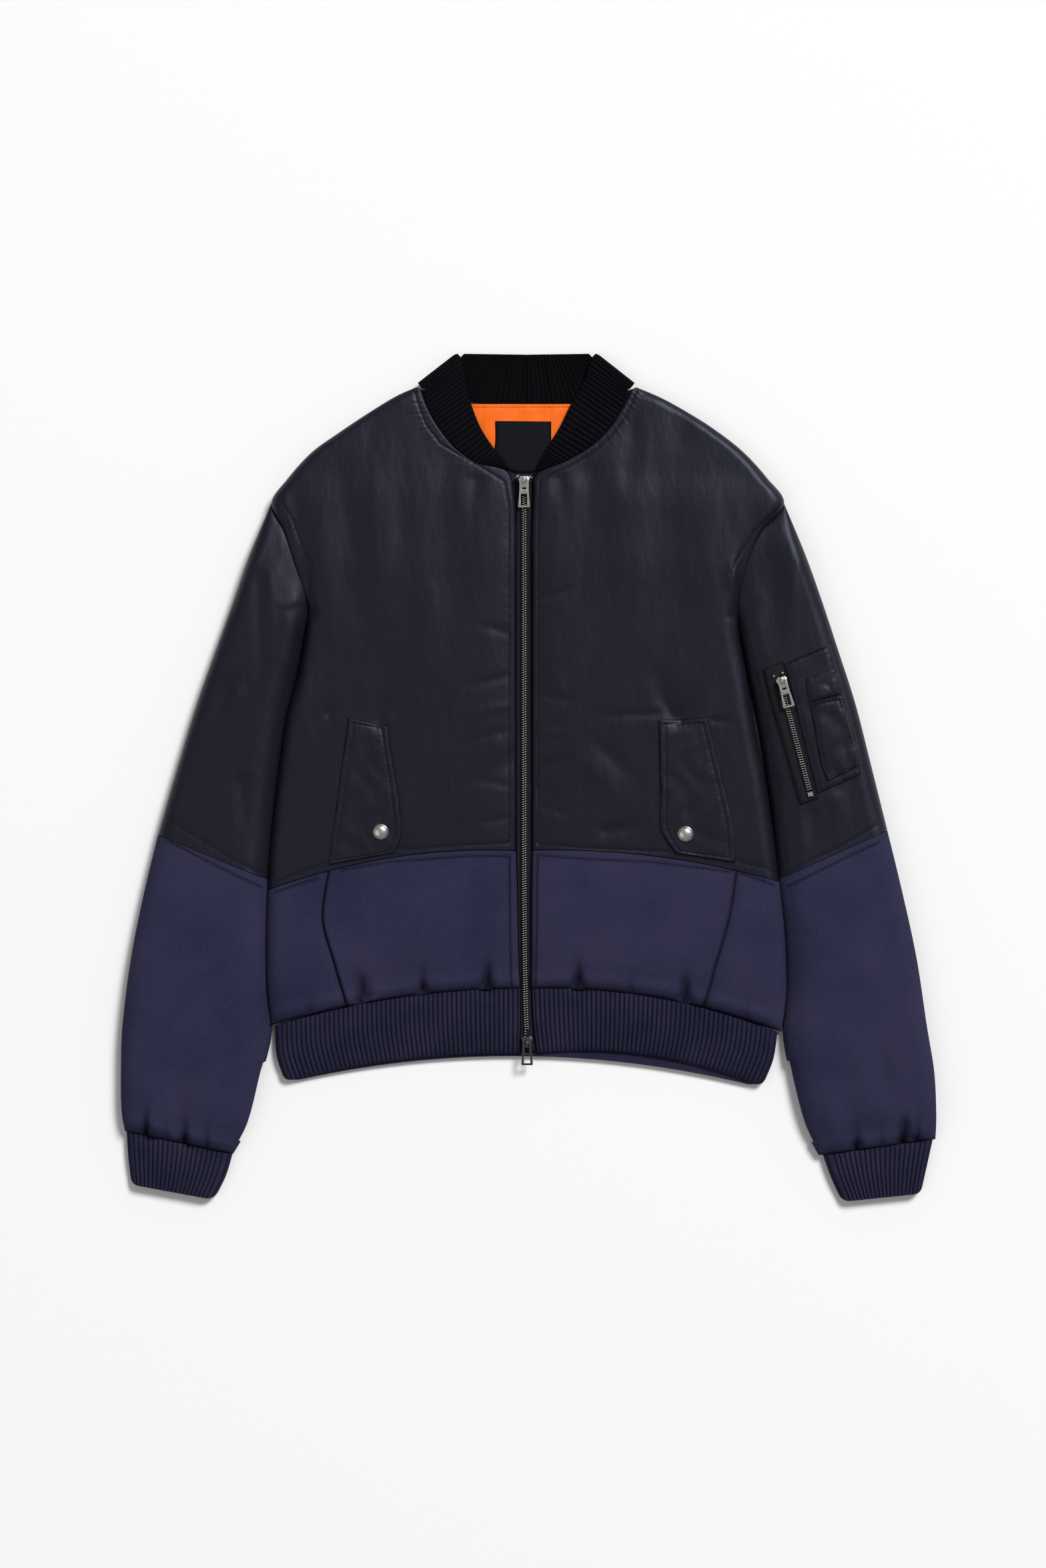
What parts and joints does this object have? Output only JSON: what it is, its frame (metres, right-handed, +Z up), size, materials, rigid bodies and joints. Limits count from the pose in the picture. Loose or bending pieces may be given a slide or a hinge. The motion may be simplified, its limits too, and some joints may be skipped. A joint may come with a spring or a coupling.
{
  "type": "bomber jacket",
  "caption": "Bomber jacket lying flat on its back, zipped, in black satin over navy fleece, with ribbed collar, cuffs and hem, pocket flaps and a zipped sleeve pocket.",
  "frame": {"origin": "on the surface it lies on, under the middle of its outline", "axes": "+Z up from the surface, +Y from the hem to the collar, +X to the wearer's left"},
  "size_m": [0.7656, 0.7969, 0.0354],
  "materials": {
    "satin": "black satin with a soft sheen",
    "navy_fleece": "matte navy sweatshirt knit",
    "navy_rib": "matte navy rib knit",
    "black_rib": "matte black rib knit",
    "orange_lining": "orange satin",
    "label_cloth": "black woven",
    "zip_tape": "black woven tape",
    "dark_metal": "gunmetal",
    "silver_metal": "bright nickel"
  },
  "bodies": {
    "jacket": {"front_upper_right": "satin", "front_upper_left": "satin", "back_upper": "satin", "side_lower_right": "navy_fleece", "front_lower_right": "navy_fleece", "side_lower_left": "navy_fleece", "front_lower_left": "navy_fleece", "back_lower": "navy_fleece", "hem_rib": "navy_rib", "sleeve_upper_right": "satin", "sleeve_lower_right": "navy_fleece", "cuff_right": "navy_rib", "sleeve_upper_left": "satin", "sleeve_lower_left": "navy_fleece", "cuff_left": "navy_rib", "collar_rib": "black_rib", "lining_back_neck": "orange_lining", "neck_label": "label_cloth", "pocket_flap_right": "satin", "snap_cap_right": "silver_metal", "pocket_flap_left": "satin", "snap_cap_left": "silver_metal", "sleeve_pocket": "satin", "sleeve_zip_welt": "zip_tape", "pen_flap": "satin", "pen_pocket": "satin", "sleeve_zip_chain": "silver_metal", "zip_tape_right": "zip_tape", "zip_tape_left": "zip_tape", "zip_chain": "silver_metal", "top_slider": "silver_metal", "top_bail": "silver_metal", "bottom_slider": "dark_metal", "bottom_bail": "dark_metal", "sleeve_slider": "silver_metal", "sleeve_bail": "silver_metal"},
    "top_pull": {"top_pull": "silver_metal"},
    "bottom_pull": {"bottom_pull": "dark_metal"},
    "sleeve_pull": {"sleeve_pull": "silver_metal"}
  },
  "joints": [
    {"name": "top_pull_hinge", "type": "hinge", "parent": "jacket", "child": "top_pull", "pos_m": [-0.004, 0.279, 0.021], "axis": [-1, 0, 0], "range_deg": [0, 160]},
    {"name": "bottom_pull_hinge", "type": "hinge", "parent": "jacket", "child": "bottom_pull", "pos_m": [-0.0012, -0.2501, 0.0151], "axis": [-1, 0, 0], "range_deg": [0, 160]},
    {"name": "sleeve_pull_hinge", "type": "hinge", "parent": "jacket", "child": "sleeve_pull", "pos_m": [0.23683, 0.09063, 0.033], "axis": [-0.9659, -0.2588, 0], "range_deg": [0, 160]}
  ]
}
